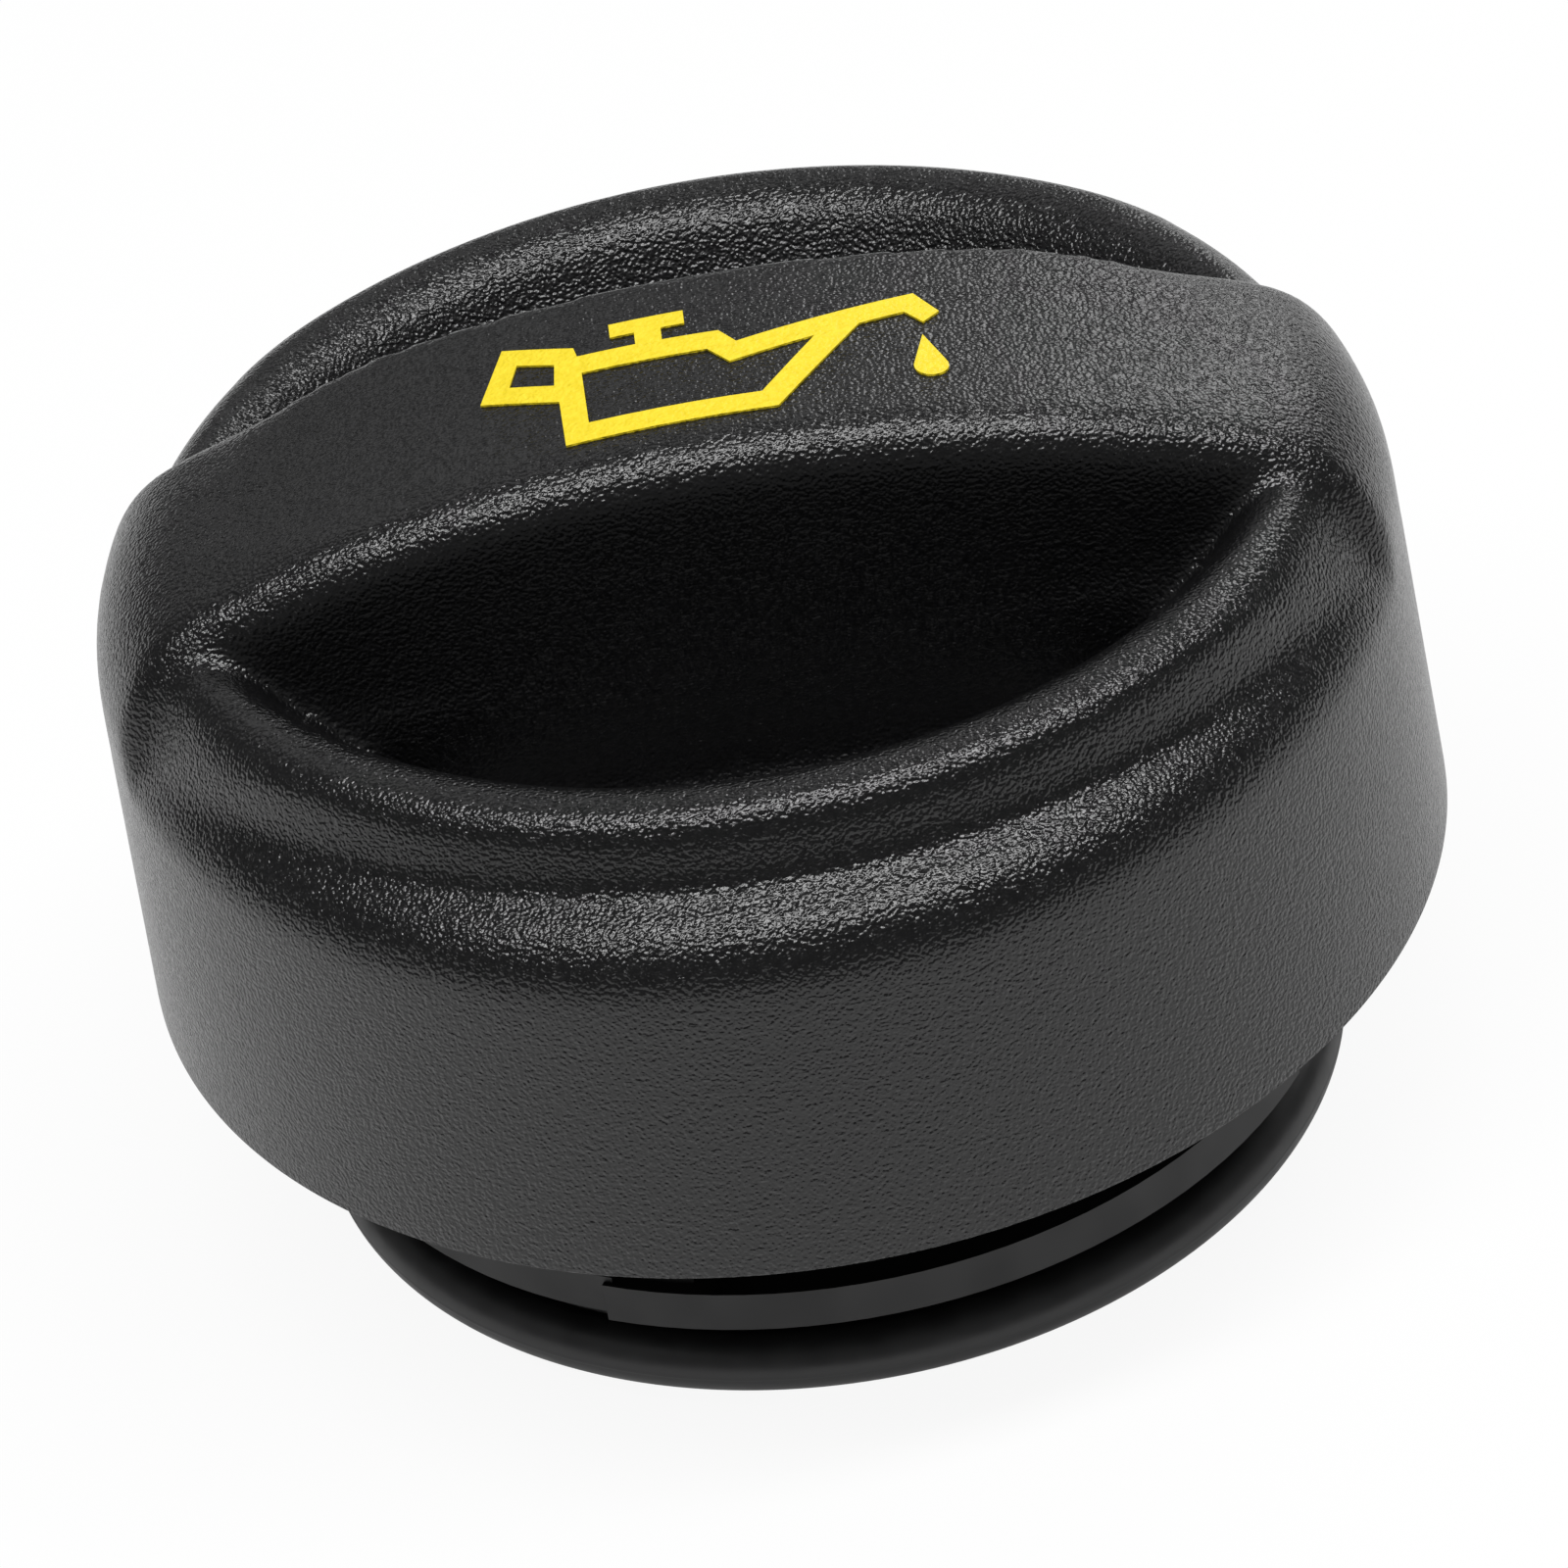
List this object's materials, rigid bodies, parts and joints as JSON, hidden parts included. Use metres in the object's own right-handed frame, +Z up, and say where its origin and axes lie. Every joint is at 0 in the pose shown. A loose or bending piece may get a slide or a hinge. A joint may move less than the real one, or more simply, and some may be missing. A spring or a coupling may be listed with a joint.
{
  "type": "oil filler cap",
  "caption": "Round engine oil filler cap: crowned grip bar between finger scoops, deep skirt, bayonet neck with a seal ring, printed oil can sign.",
  "frame": {"origin": "centre of the neck's bottom rim, on the axis of the cap", "axes": "+Z up along the cap's axis, X along the grip bar, the front scoop towards -Y"},
  "size_m": [0.07, 0.07, 0.0479],
  "materials": {
    "cap_plastic": "grained black moulding, smooth on the neck",
    "seal_rubber": "satin black rubber",
    "sign_print": "yellow pad print"
  },
  "bodies": {
    "root": {"cap_body": "cap_plastic", "seal_ring": "seal_rubber", "oil_sign": "sign_print"}
  },
  "joints": []
}
